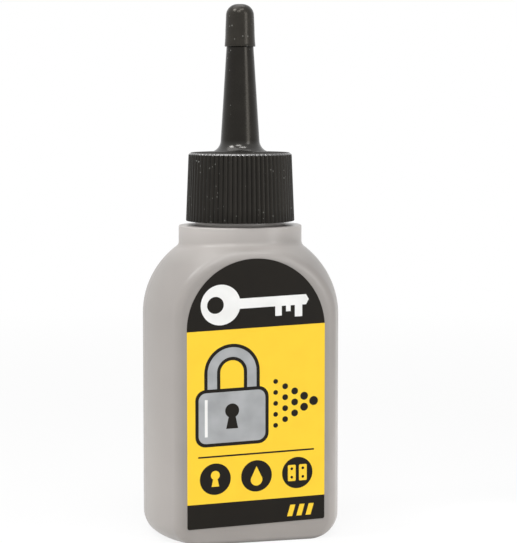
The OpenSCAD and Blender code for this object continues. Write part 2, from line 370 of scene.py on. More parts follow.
def addBump(tree, skin, height, strength, distance):
    bump = addNode(tree, "ShaderNodeBump", {"Height": height, "Strength": strength,
                   "Distance": distance})
    tree.links.new(bump.outputs["Normal"], skin.inputs["Normal"])


def paint(red, green, blue):
    # a screen colour out of 255 as the linear colour that shaders take
    def linear(value):
        value /= 255
        return value / 12.92 if value <= 0.04045 else ((value + 0.055) / 1.055) ** 2.4
    return (linear(red), linear(green), linear(blue), 1.0)


# bottle plastic, satin grey polyethylene

bottleFinish = {
    "light": paint(154, 149, 145), "dark": paint(150, 145, 141), "paintedGlow": paint(178, 173, 169),
    "paintedGlowBand": (58.0 * mm, 64.6 * mm),     # painted light: the collar's top is painted paler, standing in for light let through its thin wall
    "foot": paint(116, 113, 110), "contactShadowBand": (0.2 * mm, 0.9 * mm),   # painted contact shadow: darker where it stands on the floor
    "footShare": 0.8,
    "blotchScale": 70.0, "skinScale": 2400.0,
    "roughLow": 0.33, "roughHigh": 0.4,
    "bump": 0.25, "skinDepth": 0.03 * mm,
}


def makeBottlePlastic():
    material, tree, skin = startMaterial("bottlePlastic")
    grain = useGroup(tree, grainGroup, Blotch_Scale=bottleFinish["blotchScale"],
                     Skin_Scale=bottleFinish["skinScale"])
    shade = spread(tree, grain["Blotch"], 0.35, 0.65, 0.0, 1.0)
    plain = mixColour(tree, shade, bottleFinish["dark"], bottleFinish["light"])
    place = addNode(tree, "ShaderNodeTexCoord").outputs["Object"]
    height = addNode(tree, "ShaderNodeSeparateXYZ", {0: place}).outputs["Z"]
    # painted light: the collar's top band is painted paler, standing in for light let through its
    # thin wall
    band = spread(tree, height, *bottleFinish["paintedGlowBand"], 0.0, 1.0)
    upper = mixColour(tree, band, plain, bottleFinish["paintedGlow"])
    # painted contact shadow: the foot's lower edge is darkened where it meets the floor, by
    # footShare at most
    foot = spread(tree, height, *bottleFinish["contactShadowBand"], bottleFinish["footShare"], 0.0)
    tree.links.new(mixColour(tree, foot, upper, bottleFinish["foot"]), skin.inputs["Base Color"])
    tree.links.new(spread(tree, grain["Blotch"], 0.3, 0.7, bottleFinish["roughLow"],
                          bottleFinish["roughHigh"]), skin.inputs["Roughness"])
    addBump(tree, skin, grain["Skin"], bottleFinish["bump"], bottleFinish["skinDepth"])
    return material


# black plastics of the nozzle cap and the tip cap

capFinish = {
    "black": paint(12, 11, 10), "worn": paint(18, 17, 15), "blotchScale": 300.0,
    "tipBlack": paint(32, 30, 27), "tipWorn": paint(37, 35, 31), "tipBlotchScale": 420.0,
    "specks": {"Scale": 800.0, "Size": 0.13, "Patches": 150.0},
    "dust": paint(140, 140, 136), "dustShare": 0.4,
    "roughLow": 0.22, "roughHigh": 0.29,
    "gloss": 0.28, "tint": (1.0, 0.93, 0.82, 1.0),
    "skinScale": 3000.0, "bump": 0.12, "skinDepth": 0.03 * mm,
    "span": (79.8 * mm, 83.8 * mm),         # the heights that the two rows below lie in
    # height in mm and share: polished on the upper edge and the nozzle's foot
    "polish": ((80.36, 0.0), (80.44, 1.0), (80.74, 1.0), (80.79, 0.0), (81.0, 0.0), (81.6, 0.2),
               (82.4, 0.2), (83.4, 0.0)),
    "coatRough": 0.12, "coatIor": 2.0,
    # and matt on the ribs and the flat top
    "matt": ((80.3, 0.4), (80.42, 0.0), (80.7, 0.0), (80.78, 1.0), (80.86, 1.0), (81.1, 0.0)),
    "mattRough": 0.85,
}


def heightRamp(tree, stops):
    # a share that changes with height, by the stops given
    low, high = capFinish["span"]
    place = addNode(tree, "ShaderNodeTexCoord").outputs["Object"]
    height = addNode(tree, "ShaderNodeSeparateXYZ", {0: place}).outputs["Z"]
    ramp = addNode(tree, "ShaderNodeValToRGB", {"Fac": spread(tree, height, low, high, 0.0, 1.0)})
    while len(ramp.color_ramp.elements) < len(stops):
        ramp.color_ramp.elements.new(1.0)
    for stop, (level, share) in zip(ramp.color_ramp.elements, stops):
        stop.position = (level * mm - low) / (high - low)
        stop.color = (share, share, share, 1.0)
    return ramp.outputs["Color"]


def makeBlackPlastic(name, blotchScale, black, worn):
    material, tree, skin = startMaterial(name)
    grain = useGroup(tree, grainGroup, Blotch_Scale=blotchScale, Skin_Scale=capFinish["skinScale"])
    specks = useGroup(tree, dustGroup, **capFinish["specks"])["Specks"]
    shade = spread(tree, grain["Blotch"], 0.35, 0.7, 0.0, 1.0)
    plain = mixColour(tree, shade, black, worn)
    share = addNode(tree, "ShaderNodeMath", {0: specks, 1: capFinish["dustShare"]},
                    operation="MULTIPLY").outputs[0]
    tree.links.new(mixColour(tree, share, plain, capFinish["dust"]), skin.inputs["Base Color"])
    smooth = spread(tree, grain["Blotch"], 0.3, 0.7, capFinish["roughLow"], capFinish["roughHigh"])
    rough = addNode(tree, "ShaderNodeMix", {"Factor": heightRamp(tree, capFinish["matt"]), 2: smooth,
                    3: capFinish["mattRough"]}, data_type="FLOAT")
    tree.links.new(rough.outputs[0], skin.inputs["Roughness"])
    skin.inputs["Specular IOR Level"].default_value = capFinish["gloss"]
    skin.inputs["Specular Tint"].default_value = capFinish["tint"]
    tree.links.new(heightRamp(tree, capFinish["polish"]), skin.inputs["Coat Weight"])
    skin.inputs["Coat Roughness"].default_value = capFinish["coatRough"]
    skin.inputs["Coat IOR"].default_value = capFinish["coatIor"]
    addBump(tree, skin, grain["Skin"], capFinish["bump"], capFinish["skinDepth"])
    return material


# printed film

filmFinish = {
    # each ink's colour, and what its blotches darken it to
    "yellow": (paint(254, 211, 58), 0.97), "black": (paint(24, 20, 14), 0.85),
    "white": (paint(244, 244, 242), 0.93), "grey": (paint(176, 178, 180), 0.8),
    "blotchScale": 220.0, "skinScale": 4000.0,
    "roughLow": 0.34, "roughHigh": 0.44, "gloss": 0.16,
    "bump": 0.12, "skinDepth": 0.02 * mm,
}


def makeFilm(name, colour, shadeDrop):
    material, tree, skin = startMaterial(name)
    grain = useGroup(tree, grainGroup, Blotch_Scale=filmFinish["blotchScale"],
                     Skin_Scale=filmFinish["skinScale"])
    dark = tuple(c * shadeDrop for c in colour[:3]) + (1.0,)
    shade = spread(tree, grain["Blotch"], 0.35, 0.65, 0.0, 1.0)
    tree.links.new(mixColour(tree, shade, dark, colour), skin.inputs["Base Color"])
    tree.links.new(spread(tree, grain["Skin"], 0.3, 0.7, filmFinish["roughLow"],
                          filmFinish["roughHigh"]), skin.inputs["Roughness"])
    skin.inputs["Specular IOR Level"].default_value = filmFinish["gloss"]
    addBump(tree, skin, grain["Skin"], filmFinish["bump"], filmFinish["skinDepth"])
    return material


# graphite powder

graphiteFinish = {
    "dark": paint(44, 44, 47), "light": paint(88, 88, 92),
    "blotchScale": 900.0, "skinScale": 5200.0,
    "roughDark": 0.75, "roughLight": 0.45, "metalLow": 0.1, "metalHigh": 0.5,
    "bump": 0.9, "grainDepth": 0.25 * mm,
}


def makeGraphite():
    material, tree, skin = startMaterial("graphitePowder")
    grain = useGroup(tree, grainGroup, Blotch_Scale=graphiteFinish["blotchScale"],
                     Skin_Scale=graphiteFinish["skinScale"])
    shade = spread(tree, grain["Skin"], 0.3, 0.7, 0.0, 1.0)
    tree.links.new(mixColour(tree, shade, graphiteFinish["dark"], graphiteFinish["light"]),
                   skin.inputs["Base Color"])
    tree.links.new(spread(tree, grain["Skin"], 0.35, 0.7, graphiteFinish["roughDark"],
                          graphiteFinish["roughLight"]), skin.inputs["Roughness"])
    tree.links.new(spread(tree, grain["Blotch"], 0.4, 0.7, graphiteFinish["metalLow"],
                          graphiteFinish["metalHigh"]), skin.inputs["Metallic"])
    addBump(tree, skin, grain["Skin"], graphiteFinish["bump"], graphiteFinish["grainDepth"])
    return material


# seal foam, with fine closed cells

foamFinish = {
    "dark": paint(214, 213, 206), "light": paint(240, 239, 234), "cellScale": 3200.0,
    "roughDark": 0.85, "roughLight": 0.6, "bump": 0.6, "cellDepth": 0.12 * mm,
}


def makeFoam():
    material, tree, skin = startMaterial("sealFoam")
    place = addNode(tree, "ShaderNodeTexCoord").outputs["Object"]
    cells = addNode(tree, "ShaderNodeTexVoronoi", {"Vector": place,
                    "Scale": foamFinish["cellScale"]}).outputs["Distance"]
    shade = spread(tree, cells, 0.1, 0.7, 0.0, 1.0)
    tree.links.new(mixColour(tree, shade, foamFinish["dark"], foamFinish["light"]),
                   skin.inputs["Base Color"])
    tree.links.new(spread(tree, cells, 0.1, 0.7, foamFinish["roughDark"], foamFinish["roughLight"]),
                   skin.inputs["Roughness"])
    addBump(tree, skin, cells, foamFinish["bump"], foamFinish["cellDepth"])
    return material


bottlePlastic = makeBottlePlastic()
capPlastic = makeBlackPlastic("capPlastic", capFinish["blotchScale"], capFinish["black"],
                              capFinish["worn"])
tipPlastic = makeBlackPlastic("tipPlastic", capFinish["tipBlotchScale"], capFinish["tipBlack"],
                              capFinish["tipWorn"])
filmYellow = makeFilm("filmYellow", *filmFinish["yellow"])
filmBlack = makeFilm("filmBlack", *filmFinish["black"])
filmWhite = makeFilm("filmWhite", *filmFinish["white"])
filmGrey = makeFilm("filmGrey", *filmFinish["grey"])
graphitePowder = makeGraphite()
sealFoam = makeFoam()
print("materials: made", len(bpy.data.materials))


# bottle

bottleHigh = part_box("bottle")[1]
bottle = {
    "halfWidth": bottleHigh.x, "halfDepth": bottleHigh.y, "rim": bottleHigh.z,
    "sideHeight": 46.7 * mm,      # the shoulders' arcs start here
    "crownHalf": 2.6 * mm,
    "bulge": 26.5 * mm, "crownBulge": 22.8 * mm,   # radius across the narrow sides and the crown
    "crownTurn": (0.15, 1.1),     # radians up the shoulder over which one becomes the other
    "edge": 1.18 * mm, "leastEdge": 0.4 * mm,
    "baseEdge": 0.5 * mm, "baseCorner": 4.4 * mm,
    "baseTurn": (0.3, 1.0),       # share of the turn under the foot where the edge gets smaller
    "wall": 1.2 * mm, "floor": 1.8 * mm, "floorCorner": 3.2 * mm,
    "standingRim": 2.4 * mm,
    "hollowSteps": ((0.8, 0.6), (0.3, 0.48), (0.1, 0.15), (-0.15, 0.0)),   # shrink, height in mm
    "collarRadius": 10.8 * mm, "collarRun": 2.3 * mm,   # round ends and a straight stretch
    "collarLow": 59.0 * mm, "collarTop": 65.5 * mm,
    "collarEdge": 0.3 * mm, "collarBlend": 0.6 * mm, "collarReach": 2 * mm,
    "beadRadius": 9.5 * mm, "beadTop": 67.4 * mm, "beadFoot": 0.5 * mm, "beadEdge": 0.4 * mm,
    "neckRadius": 8.7 * mm, "neckFoot": 0.3 * mm, "rimEdge": 0.35 * mm,
    "boreRadius": 7.3 * mm, "boreEdge": 0.25 * mm,
    "seamRise": 0.05 * mm, "seamHalf": 0.3 * mm,
    # how finely it is made: columns in a quarter of the plan, then heights (the rows are in mm)
    "sideColumns": 20, "edgeColumns": 14, "frontColumns": 30, "edgeRun": 2.4 * mm,
    "firstStep": 0.004 * mm,
    "sideLevels": range(6, 46, 4), "archFrom": 45.0 * mm, "archStep": 0.45 * mm,
    "fineFrom": 56.5 * mm, "fineStep": 0.18 * mm,
    "innerArchFrom": 46 * mm, "innerArchSteps": 24, "innerLevels": (34, 22, 10),
}
bottle["shoulder"] = bottle["halfWidth"] - bottle["crownHalf"]


def roundOff(a, b, edge):
    # the outside of two faces that meet in a rounded edge
    if a > -edge and b > -edge:
        return math.hypot(a + edge, b + edge) - edge
    return max(a, b)


def bodyGap(x, y, z, inset):
    # below 0 inside the flat body, with its wall taken off by inset
    shoulder, bulge = bottle["shoulder"] - inset, bottle["bulge"]
    corner = bottle["baseCorner"] - inset
    foot = bottle["floor"] + inset - bottle["wall"] if inset else 0.0
    edge = max(bottle["edge"] - inset / 2, bottle["leastEdge"])
    above = z - bottle["sideHeight"]
    if above > 0:
        out = max(abs(x) - bottle["crownHalf"], 0.0)
        past = math.hypot(out, above) - shoulder
        turn = math.atan2(above, out)
        bulge += (bottle["crownBulge"] - bulge) * smoothStep(*bottle["crownTurn"], turn)
    else:
        past = abs(x) - bottle["halfWidth"] + inset
    bulge -= inset
    side = math.hypot(max(bulge + past, 0.0), y) - bulge
    down = foot + corner - z
    if down > 0:
        out = max(side + corner, 0.0)
        turn = math.atan2(down, out) / (math.pi / 2)
        edge += (bottle["baseEdge"] - edge) * smoothStep(*bottle["baseTurn"], turn)
        side = math.hypot(out, down) - corner if out > 0 else foot - z
    return roundOff(side, abs(y) - bottle["halfDepth"] + inset, edge)


def collarGap(inset):
    def gap(x, y, z):
        out = math.hypot(max(abs(x) - bottle["collarRun"], 0.0), y) - bottle["collarRadius"]
        return max(out + inset, bottle["collarLow"] - z)
    return gap


collarOuter, collarInner = collarGap(0.0), collarGap(bottle["wall"])


def bottleGap(x, y, z):
    gap = bodyGap(x, y, z, 0.0)
    if z > bottle["collarLow"] - bottle["collarReach"]:
        gap = smoothMin(gap, collarOuter(x, y, z), bottle["collarBlend"])
        gap = max(gap, abs(y) - bottle["halfDepth"])
    return gap


def cavityGap(x, y, z):
    return min(bodyGap(x, y, z, bottle["wall"]), collarInner(x, y, z))


def hollowGap(shrink):
    # the base's hollow, inside the standing rim
    rim = bottle["standingRim"] + shrink

    def gap(x, y, z):
        across = math.hypot(abs(x) + bottle["bulge"] - bottle["halfWidth"], y)
        return max(across - bottle["bulge"] + bottle["baseCorner"] + rim,
                   abs(y) - bottle["halfDepth"] + bottle["baseEdge"] + rim)
    return gap


search = {"far": 30 * mm, "halvings": 26}


def reachOut(gap, angle, z):
    # how far from the axis the form's skin lies, found by halving
    c, s = math.cos(angle), math.sin(angle)
    near, far = 0.0, search["far"]
    for _ in range(search["halvings"]):
        middle = (near + far) / 2
        if gap(middle * c, middle * s, z) > 0:
            far = middle
        else:
            near = middle
    return near


def bottleColumns():
    # even steps along a quarter of the plan, and close ones at the mould's seam
    centre = bottle["halfWidth"] - bottle["bulge"]
    lean = math.asin((bottle["halfDepth"] - bottle["edge"]) / bottle["bulge"])
    plan = [(bottle["halfWidth"], bottle["seamHalf"] * share) for share in (0.0, 0.5, 1.0)]
    for k in range(1, bottle["sideColumns"] + 1):
        turn = lean * k / bottle["sideColumns"]
        plan.append((centre + bottle["bulge"] * math.cos(turn), bottle["bulge"] * math.sin(turn)))
    edgeX, edgeY = plan[-1]
    flatX = edgeX - bottle["edgeRun"]
    for k in range(1, bottle["edgeColumns"] + 1):
        share = k / bottle["edgeColumns"]
        plan.append((edgeX + (flatX - edgeX) * share,
                     edgeY + bottle["edge"] * math.sin(math.pi / 2 * share)))
    for k in range(1, bottle["frontColumns"] + 1):
        plan.append((flatX * (1 - k / bottle["frontColumns"]), bottle["halfDepth"]))
    quarter = [math.atan2(y, x) for x, y in plan]
    quarter[-1] = math.pi / 2
    half = quarter + [math.pi - a for a in reversed(quarter[:-1])]
    return half + [math.pi + a for a in half[1:-1]]


def makeBottle():
    columns = bottleColumns()

    def formRing(gap, height, seam=0.0):
        ring = []
        for a in columns:
            r = reachOut(gap, a, height)
            r += seam * max(0.0, 1 - abs(r * math.sin(a)) / bottle["seamHalf"])
            ring.append((r * math.cos(a), r * math.sin(a), height))
        return ring

    # base hollow and the rim that the bottle stands on
    rings = [formRing(hollowGap(shrink * mm), height * mm)
             for shrink, height in bottle["hollowSteps"]]

    # body, shoulders and collar
    levels = [bottle["firstStep"]] + easedLevels(0.0, bottle["baseEdge"], 5)[1:-1]
    levels += easedLevels(bottle["baseEdge"], bottle["baseCorner"], 12)
    levels += [z * mm for z in bottle["sideLevels"]]
    level = bottle["archFrom"]
    while level < bottle["collarTop"] - bottle["collarEdge"]:
        levels.append(level)
        level += bottle["archStep"] if level < bottle["fineFrom"] else bottle["fineStep"]
    rings += [formRing(bottleGap, z, bottle["seamRise"]) for z in levels]

    # collar's top, transfer bead, neck and rim
    for out, up in arcPath((0.0, 0.0), bottle["collarEdge"], 0, 86, 6):
        rings.append(formRing(collarGap(bottle["collarEdge"] - out),
                              bottle["collarTop"] - bottle["collarEdge"] + up))
    path = filletPath(bottle["beadRadius"], bottle["collarTop"], bottle["beadFoot"], 1, 4)
    path += filletPath(bottle["beadRadius"], bottle["beadTop"], bottle["beadEdge"], -1, 4)
    path += filletPath(bottle["neckRadius"], bottle["beadTop"], bottle["neckFoot"], 1, 3)
    path += filletPath(bottle["neckRadius"], bottle["rim"], bottle["rimEdge"], -1, 4)
    path += arcPath((bottle["boreRadius"] + bottle["boreEdge"], bottle["rim"] - bottle["boreEdge"]),
                    bottle["boreEdge"], 90, 180, 3)
    roof = bottle["collarTop"] - bottle["wall"]
    path.append((bottle["boreRadius"], roof))
    rings += [roundRing(columns, r, z) for r, z in path]

    # inside, down to the floor
    rings.append(formRing(collarInner, roof))
    steps = bottle["innerArchSteps"]
    inner = [roof - (roof - bottle["innerArchFrom"]) * k / steps for k in range(1, steps + 1)]
    inner += [z * mm for z in bottle["innerLevels"]]
    inner += reversed(easedLevels(bottle["floor"], bottle["floor"] + bottle["floorCorner"], 8)[1:])
    inner.append(bottle["floor"] + bottle["firstStep"])
    rings += [formRing(cavityGap, z) for z in inner]
    return growRings("bottleShell", rings)


# screw threads on the neck and in the cap

thread = {
    "pitch": 3.175 * mm, "height": 0.8 * mm, "sink": 0.3 * mm,
    "rootWidth": 1.5 * mm, "crestWidth": 0.6 * mm,
    "fade": 40.0, "endShare": 0.1,      # degrees over which it rises, and its share at the end
    "stepsPerTurn": 48,
    "neckTurns": 1.5, "capTurns": 1.25, "rimGap": 1.6 * mm, "drop": 1.3 * mm,
}
thread["low"] = bottle["rim"] - thread["rimGap"] - thread["neckTurns"] * thread["pitch"]


def makeThread(name, wall, turns, way, low):
    # way is 1 on the outside of a wall and -1 on the inside
    full, rings = 360 * turns, []
    steps = math.ceil(turns * thread["stepsPerTurn"])
    for k in range(steps + 1):
        turn = full * k / steps
        rise = min(1.0, turn / thread["fade"], (full - turn) / thread["fade"])
        height = thread["height"] * (thread["endShare"] + (1 - thread["endShare"]) * rise)
        root, crest = wall - way * thread["sink"], wall + way * height
        z = low + thread["pitch"] * turn / 360
        c, s = math.cos(math.radians(turn)), math.sin(math.radians(turn))
        rings.append([(r * c, r * s, z + up) for r, up in (
            (root, -thread["rootWidth"] / 2), (crest, -thread["crestWidth"] / 2),
            (crest, thread["crestWidth"] / 2), (root, thread["rootWidth"] / 2))])
    return growRings(name, rings)


def makeThreadedBottle():
    shell = makeBottle()
    weldOn(shell, makeThread("neckThread", bottle["neckRadius"], thread["neckTurns"], 1,
                             thread["low"]))
    return shell


finishPiece(makeThreadedBottle(), bottlePlastic, "bottle", "bottle", 40)


# nozzle cap

capLow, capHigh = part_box("nozzle_cap")
cap = {
    "foot": capLow.z, "footRadius": capHigh.x, "topRadius": 10.9 * mm, "top": 80.8 * mm,
    "edge": ((0.62, 0.0), (0.52, 0.01), (0.45, 0.03), (0.4, 0.06), (0.08, 0.34), (0.05, 0.4),
             (0.02, 0.5), (0.0, 0.65)),                      # in from the side and down, in mm
    "footEdge": 0.1 * mm, "footShare": 0.9,                  # how much of the ribs is left there
    "ribs": 68, "ribDepth": 0.27 * mm, "edgeRibDepth": 0.38 * mm,
    "ribShape": ((0.0, 0.14), (0.11, 0.03), (0.22, 0.0), (0.33, 0.03), (0.44, 0.14), (0.56, 0.6),
                 (0.72, 1.0), (0.88, 0.6)),                  # place in a rib, share of the depth
    "nozzleBase": 4.25 * mm, "nozzleEnd": 2.85 * mm, "nozzleEdge": 0.15 * mm,
    "seat": 103.0 * mm, "seatFoot": (0.1 * mm, 0.15 * mm),   # out and up
    "flare": 2.7 * mm,
    "spigot": 2.35 * mm, "spigotTip": 2.1 * mm, "spigotEdge": 0.4 * mm, "end": capHigh.z,
    "outlet": 0.9 * mm, "outletEdge": (0.15 * mm, 0.2 * mm), "inlet": 2.5 * mm,
    "bore": 9.75 * mm, "roof": 79.3 * mm, "roofEdge": 0.3 * mm,
    "mouth": 10.1 * mm, "mouthTop": 68.2 * mm, "mouthEdge": (0.15 * mm, 0.2 * mm),
}


def makeNozzleCap():
    columns, depths = [], []
    for rib in range(cap["ribs"]):
        for place, depth in cap["ribShape"]:
            columns.append(2 * math.pi * (rib + place) / cap["ribs"])
            depths.append(depth)

    def ribRing(radius, z, depth, inward=0.0):
        # a groove cuts straight through the bevel, so the deeper of the two counts
        return [((radius - max(inward, d * depth)) * math.cos(a),
                 (radius - max(inward, d * depth)) * math.sin(a), z)
                for a, d in zip(columns, depths)]

    taper = (cap["footRadius"] - cap["topRadius"]) / (cap["top"] - cap["foot"])

    def side(z):
        return cap["footRadius"] - taper * (z - cap["foot"])

    # outlet, spigot, seat for the tip cap, nozzle
    out, down = cap["outletEdge"]
    path = [(cap["inlet"], cap["roof"]), (cap["outlet"], cap["seat"]),
            (cap["outlet"], cap["end"] - down), (cap["outlet"] + out, cap["end"])]
    path += reversed(filletPath(cap["spigotTip"], cap["end"], cap["spigotEdge"], -1, 4))
    out, up = cap["seatFoot"]
    path += [(cap["spigot"], cap["seat"] + up), (cap["spigot"] + out, cap["seat"])]
    path += reversed(filletPath(cap["nozzleEnd"], cap["seat"], cap["nozzleEdge"], -1, 3))
    slope = (cap["nozzleBase"] - cap["nozzleEnd"]) / (cap["seat"] - cap["top"])
    flareTop = cap["top"] + cap["flare"]
    flareRadius = cap["nozzleBase"] - slope * cap["flare"]
    for k in range(1, 7):
        z = cap["seat"] - (cap["seat"] - flareTop) * k / 6
        path.append((cap["nozzleEnd"] + slope * (cap["seat"] - z), z))
    path += arcPath((flareRadius + cap["flare"], flareTop), cap["flare"], 186, 268, 12)
    rings = [roundRing(columns, r, z) for r, z in path]

    # bevelled edge, cut into teeth by the grooves, then the ribbed skirt
    for inward, down in cap["edge"]:
        z = cap["top"] - down * mm
        share = down / cap["edge"][-1][1]
        depth = cap["edgeRibDepth"] + (cap["ribDepth"] - cap["edgeRibDepth"]) * share
        rings.append(ribRing(side(z), z, depth, inward * mm))
    skirtTop, skirtFoot = z, cap["foot"] + cap["footEdge"]
    for k in range(1, 6):
        z = skirtTop - (skirtTop - skirtFoot) * k / 5
        rings.append(ribRing(side(z), z, cap["ribDepth"]))
    rings.append(ribRing(cap["footRadius"] - cap["footEdge"], cap["foot"],
                         cap["footShare"] * cap["ribDepth"]))

    # mouth, bore and roof
    out, up = cap["mouthEdge"]
    inside = [(cap["mouth"] + out, cap["foot"]), (cap["mouth"], cap["foot"] + up),
              (cap["mouth"], cap["mouthTop"] - up), (cap["bore"], cap["mouthTop"] + out),
              (cap["bore"], cap["roof"] - cap["roofEdge"]),
              (cap["bore"] - cap["roofEdge"], cap["roof"]), (cap["inlet"], cap["roof"])]
    rings += [roundRing(columns, r, z) for r, z in inside]
    shell = growRings("nozzleCap", rings, closed=True)
    weldOn(shell, makeThread("capThread", cap["bore"], thread["capTurns"], -1,
                             thread["low"] - thread["drop"]))
    return shell


finishPiece(makeNozzleCap(), capPlastic, "nozzle_cap", "nozzle_cap", 50)


# tip cap

tipLow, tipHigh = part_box("tip_cap")
tip = {
    "foot": tipLow.z, "top": tipHigh.z,
    "lip": tipHigh.x, "lipHeight": 3.3 * mm, "lipEdge": 0.12 * mm,
    "side": 3.075 * mm, "sideMiddle": 5 * mm, "topRadius": 2.95 * mm, "dome": 2.4 * mm,
    "socket": 2.43 * mm, "socketMouth": 0.25 * mm,
    "socketTip": 2.18 * mm, "socketRoof": 110.4 * mm, "socketEdge": 0.3 * mm,
    "pole": 0.2 * mm, "columns": 96,
}


def makeTipCap():
    columns = evenColumns(tip["columns"])
    path = [(tip["pole"], tip["socketRoof"]),
            (tip["socketTip"] - tip["socketEdge"], tip["socketRoof"]),
            (tip["socketTip"], tip["socketRoof"] - tip["socketEdge"]),
            (tip["socket"], tip["foot"] + tip["socketMouth"]),
            (tip["socket"] + tip["socketMouth"], tip["foot"]),
            (tip["lip"] - tip["lipEdge"], tip["foot"]), (tip["lip"], tip["foot"] + tip["lipEdge"])]
    for k in range(1, 7):
        share = k / 6
        path.append((tip["lip"] - (tip["lip"] - tip["side"]) * math.sin(math.pi / 2 * share),
                     tip["foot"] + tip["lipEdge"] + tip["lipHeight"] * share))
    path.append(((tip["side"] + tip["topRadius"]) / 2, tip["foot"] + tip["sideMiddle"]))
    centre = (tip["topRadius"] - tip["dome"], tip["top"] - tip["dome"])
    path += arcPath(centre, tip["dome"], 0, 86, 14)
    path.append((tip["pole"], tip["top"]))
    return growRings("tipCap", [roundRing(columns, r, z) for r, z in path])


finishPiece(makeTipCap(), tipPlastic, "tip_cap", "tip_cap", 50)


# seal washer

washerLow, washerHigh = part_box("seal_washer")
washer = {"hole": 4.0 * mm, "edge": 0.18 * mm, "columns": 96}


def makeSealWasher():
    outer, low, high, edge = washerHigh.x, washerLow.z, washerHigh.z, washer["edge"]
    path = arcPath((outer - edge, low + edge), edge, -90, 0, 3)
    path += arcPath((outer - edge, high - edge), edge, 0, 90, 3)
    path += arcPath((washer["hole"] + edge, high - edge), edge, 90, 180, 3)
    path += arcPath((washer["hole"] + edge, low + edge), edge, 180, 270, 3)
    path.append(path[0])
    columns = evenColumns(washer["columns"])
    return growRings("sealWasher", [roundRing(columns, r, z) for r, z in path], closed=True)


finishPiece(makeSealWasher(), sealFoam, "seal_washer", "seal_washer")


# graphite powder, heaped in the body

powder = {
    "gap": 0.1 * mm, "floorCorner": 3.1 * mm,
    "level": 50.0 * mm, "heap": 1.7 * mm, "heapPower": 1.5, "rimDrop": 0.5 * mm,
    "lumps": 0.22 * mm, "lumpSize": 2.4 * mm,
    "levels": (12, 22, 34, 44, 46, 48),     # in mm
    "heapRings": 16, "foldIn": 0.98, "rimShrink": 0.995,
}


def makePowder():
    columns = bottleColumns()
    inset = bottle["wall"] + powder["gap"]
    foot = bottle["floor"] + powder["gap"]

    def gap(x, y, z):
        return bodyGap(x, y, z, inset)

    def formRing(z):
        return [(r * math.cos(a), r * math.sin(a), z)
                for a, r in ((a, reachOut(gap, a, z)) for a in columns)]

    levels = [foot + bottle["firstStep"]]
    levels += easedLevels(foot, foot + powder["floorCorner"], 8)[1:]
    levels += [z * mm for z in powder["levels"]] + [powder["level"] - powder["rimDrop"]]
    rings = [formRing(z) for z in levels]
    edge = formRing(powder["level"])
    for k in range(powder["heapRings"] + 1):
        share = 1 - powder["foldIn"] * k / powder["heapRings"]
        top = powder["level"] + powder["heap"] * (1 - share ** powder["heapPower"])
        ring = []
        for x, y, _ in edge:
            lump = noise.noise(Vector((x * share, y * share, 0.0)) / powder["lumpSize"])
            ring.append((x * share * powder["rimShrink"], y * share * powder["rimShrink"],
                         top + (powder["lumps"] * lump if k else 0.0)))
        rings.append(ring)
    return growRings("powderFill", rings)


finishPiece(makePowder(), graphitePowder, "bottle", "graphite_powder", 60)


# labels: film cut to the panel's arch, with flat print on it

labelLow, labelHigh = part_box("front_label")
label = {
    "half": labelHigh.x, "low": labelLow.z, "high": labelHigh.z,
    "archSegments": 32, "corner": 0.4 * mm, "cornerSegments": 6,
    "lowSlope": 1.8,                                     # the lower edge rises to the right
    "back": -labelHigh.y, "front": -labelLow.y,
    "archBorder": 45.1 * mm, "bandBorder": 9.0 * mm,     # where black meets yellow
    "archSlope": 2.2, "bandSlope": 1.6,                  # degrees that the print leans by
    "ink": 0.006 * mm,                                   # one layer of print
}


def printRise(u, z):
    share = (z - label["bandBorder"]) / (label["archBorder"] - label["bandBorder"])
    slope = label["bandSlope"] + (label["archSlope"] - label["bandSlope"]) * share
    return u * math.tan(math.radians(slope))


def makeFilmPiece(name, side):
    # side is 1 on the front and -1 on the back
    height = label["high"] - label["low"]
    film = startPiece(name, bpy.ops.mesh.primitive_plane_add, size=1,
                      location=(0, -side * label["back"], label["low"] + height / 2),
                      rotation=(math.pi / 2, 0, 0 if side > 0 else math.pi))
    film.scale = (2 * label["half"], height, 1)
    bpy.ops.object.transform_apply(location=True, rotation=True, scale=True)
    bpy.ops.object.mode_set(mode="EDIT")
    # the top corners are rounded to the arch, and the lower ones a little
    for above, radius, segments in ((True, label["half"], label["archSegments"]),
                                    (False, label["corner"], label["cornerSegments"])):
        bpy.ops.mesh.select_mode(type="VERT")
        bpy.ops.mesh.select_all(action="DESELECT")
        edit = bmesh.from_edit_mesh(film.data)
        for vert in edit.verts:
            vert.select = (vert.co.z > label["high"] - mm if above
                           else vert.co.z < label["low"] + 0.1 * mm)
        edit.select_flush_mode()
        bmesh.update_edit_mesh(film.data)
        bpy.ops.mesh.bevel(affect="VERTICES", offset=radius, segments=segments)
    edit = bmesh.from_edit_mesh(film.data)
    for vert in edit.verts:
        if vert.co.z < label["low"] + mm:
            vert.co.z += side * vert.co.x * math.tan(math.radians(label["lowSlope"]))
    bmesh.update_edit_mesh(film.data)
    bpy.ops.mesh.select_all(action="SELECT")
    bpy.ops.mesh.remove_doubles(threshold=1e-6)
    bpy.ops.mesh.extrude_region_move(TRANSFORM_OT_translate={
        "value": (0, -side * (label["front"] - label["back"]), 0)})
    for border, slope in ((label["archBorder"], label["archSlope"]),
                          (label["bandBorder"], label["bandSlope"])):
        lean = math.radians(slope)
        bpy.ops.mesh.select_all(action="SELECT")
        bpy.ops.mesh.bisect(plane_co=(0, 0, border),
                            plane_no=(-side * math.sin(lean), 0, math.cos(lean)))
    bpy.ops.object.mode_set(mode="OBJECT")
    tidyMesh(film)
    film.data.materials.append(filmYellow)
    film.data.materials.append(filmBlack)
    for face in film.data.polygons:
        u, z = side * face.center.x, face.center.z
        arch = z > label["archBorder"] + printRise(u, label["archBorder"])
        band = z < label["bandBorder"] + printRise(u, label["bandBorder"])
        face.material_index = 1 if arch or band else 0
    return film


